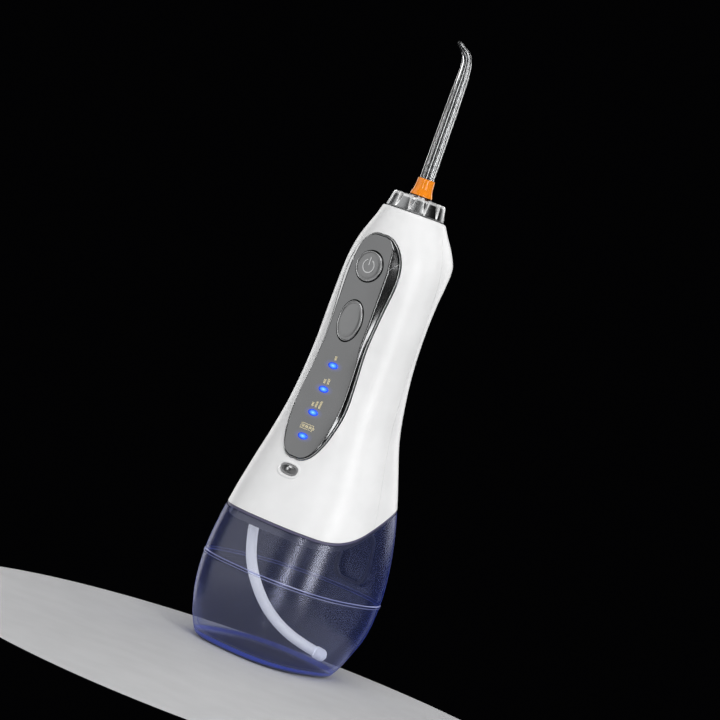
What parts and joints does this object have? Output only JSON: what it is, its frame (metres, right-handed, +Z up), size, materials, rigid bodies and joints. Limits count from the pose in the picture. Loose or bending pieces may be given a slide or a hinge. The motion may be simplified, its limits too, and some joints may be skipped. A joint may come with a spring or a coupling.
{
  "type": "water flosser",
  "caption": "Cordless water flosser: white hand-held pump handle with a control panel, bent clear jet tip and turning dial, standing on a blue water tank.",
  "frame": {"origin": "on the floor, at the tank's flat base, straight below the nozzle's axis", "axes": "+Z up along the nozzle, -Y towards the user, the side with the buttons, +X to the right seen from the front"},
  "size_m": [0.0776, 0.0876, 0.2987],
  "materials": {
    "white_shell": "neutral white, glossy satin",
    "panel_metal": "satin grey metallic coating",
    "chrome": "bright mirror chrome",
    "button_grey": "satin grey metallic coating",
    "lamp_blue": "translucent blue lens",
    "tank_blue": "clear blue tinted plastic, glossy",
    "clear_tip": "clear plastic, glossy",
    "tip_orange": "translucent orange plastic",
    "hose_white": "milky white, soft satin",
    "deck_slate": "dark slate moulded plastic",
    "seal_dark": "dark matt rubber",
    "inner_grey": "moulded grey, matt",
    "steel": "plain steel",
    "board_green": "green solder mask",
    "cell_wrap": "blue shrink sleeve over a metal can",
    "gear_cream": "cream acetal"
  },
  "bodies": {
    "tank": {"tank_lower": "tank_blue", "tank_upper": "tank_blue", "tank_gasket": "seal_dark", "door_hinge_pin": "steel"},
    "fill_door": {"fill_door": "tank_blue", "fill_door_seal": "seal_dark"},
    "handle": {"front_shell": "white_shell", "rear_shell": "white_shell", "panel_bezel": "chrome", "control_panel": "panel_metal", "lamp_lens_1": "lamp_blue", "lamp_lens_2": "lamp_blue", "lamp_lens_3": "lamp_blue", "lamp_lens_4": "lamp_blue", "led_1": "gear_cream", "led_2": "gear_cream", "led_3": "gear_cream", "led_4": "gear_cream", "circuit_board": "board_green", "power_switch": "inner_grey", "mode_switch": "inner_grey", "charge_port": "inner_grey", "charge_pin": "steel", "chassis": "inner_grey", "deck_screw_left": "steel", "deck_screw_right": "steel", "battery_cell": "cell_wrap", "motor": "steel", "gear_bracket": "inner_grey", "gear_axle": "steel", "pump_cylinder": "hose_white", "pump_head": "inner_grey", "inlet_valve": "steel", "outlet_valve": "steel", "intake_pipe": "hose_white", "outlet_pipe": "hose_white", "nozzle_socket": "inner_grey", "release_spring": "steel", "deck_plate": "deck_slate", "hose_nipple": "hose_white", "suction_hose": "hose_white", "strainer": "hose_white"},
    "power_button": {"power_button": "button_grey"},
    "mode_button": {"mode_button": "button_grey"},
    "tip_release": {"tip_release": "white_shell", "latch_plate": "steel"},
    "dial": {"grip_dial": "chrome"},
    "tip": {"jet_tip": "clear_tip", "colour_ring": "tip_orange", "tip_seal": "seal_dark"},
    "rotor": {"motor_shaft": "steel", "pinion": "steel"},
    "crank": {"crown_gear": "gear_cream"},
    "rod": {"connecting_rod": "gear_cream"},
    "piston": {"piston": "gear_cream", "piston_seal": "seal_dark"}
  },
  "joints": [
    {"name": "handle_lift", "type": "slide", "parent": "tank", "child": "handle", "axis": [0, 0, 1], "range_m": [0, 0.09]},
    {"name": "fill_door_swing", "type": "hinge", "parent": "tank", "child": "fill_door", "pos_m": [0, 0.0482, 0.0725], "axis": [1, 0, 0], "range_deg": [0, 110]},
    {"name": "power_press", "type": "slide", "parent": "handle", "child": "power_button", "axis": [0, 1, 0], "range_m": [0, 0.0008], "stiffness_N_per_m": 800},
    {"name": "mode_press", "type": "slide", "parent": "handle", "child": "mode_button", "axis": [0, 1, 0], "range_m": [0, 0.0008], "stiffness_N_per_m": 800},
    {"name": "tip_release_press", "type": "slide", "parent": "handle", "child": "tip_release", "axis": [0, -1, 0], "range_m": [0, 0.002], "stiffness_N_per_m": 500},
    {"name": "dial_spin", "type": "hinge", "parent": "handle", "child": "dial", "pos_m": [0, 0, 0.22], "axis": [0, 0, 1], "continuous": true},
    {"name": "tip_pull", "type": "slide", "parent": "dial", "child": "tip", "axis": [0, 0, 1], "range_m": [0, 0.031]},
    {"name": "crank_spin", "type": "hinge", "parent": "handle", "child": "crank", "pos_m": [0.0098, 0, 0.1305], "axis": [0, 1, 0], "continuous": true},
    {"name": "motor_spin", "type": "hinge", "parent": "handle", "child": "rotor", "pos_m": [0.0098, 0.006, 0.1], "axis": [0, 0, 1], "continuous": true},
    {"name": "rod_turn", "type": "hinge", "parent": "crank", "child": "rod", "pos_m": [0.0098, -0.0026, 0.1275], "axis": [0, 1, 0], "continuous": true},
    {"name": "piston_stroke", "type": "slide", "parent": "handle", "child": "piston", "axis": [0, 0, 1], "range_m": [0, 0.006]}
  ],
  "couplings": [
    {"joint": "motor_spin", "follows": "crank_spin", "ratio": -2.5},
    {"joint": "rod_turn", "follows": "crank_spin", "ratio": -1}
  ]
}
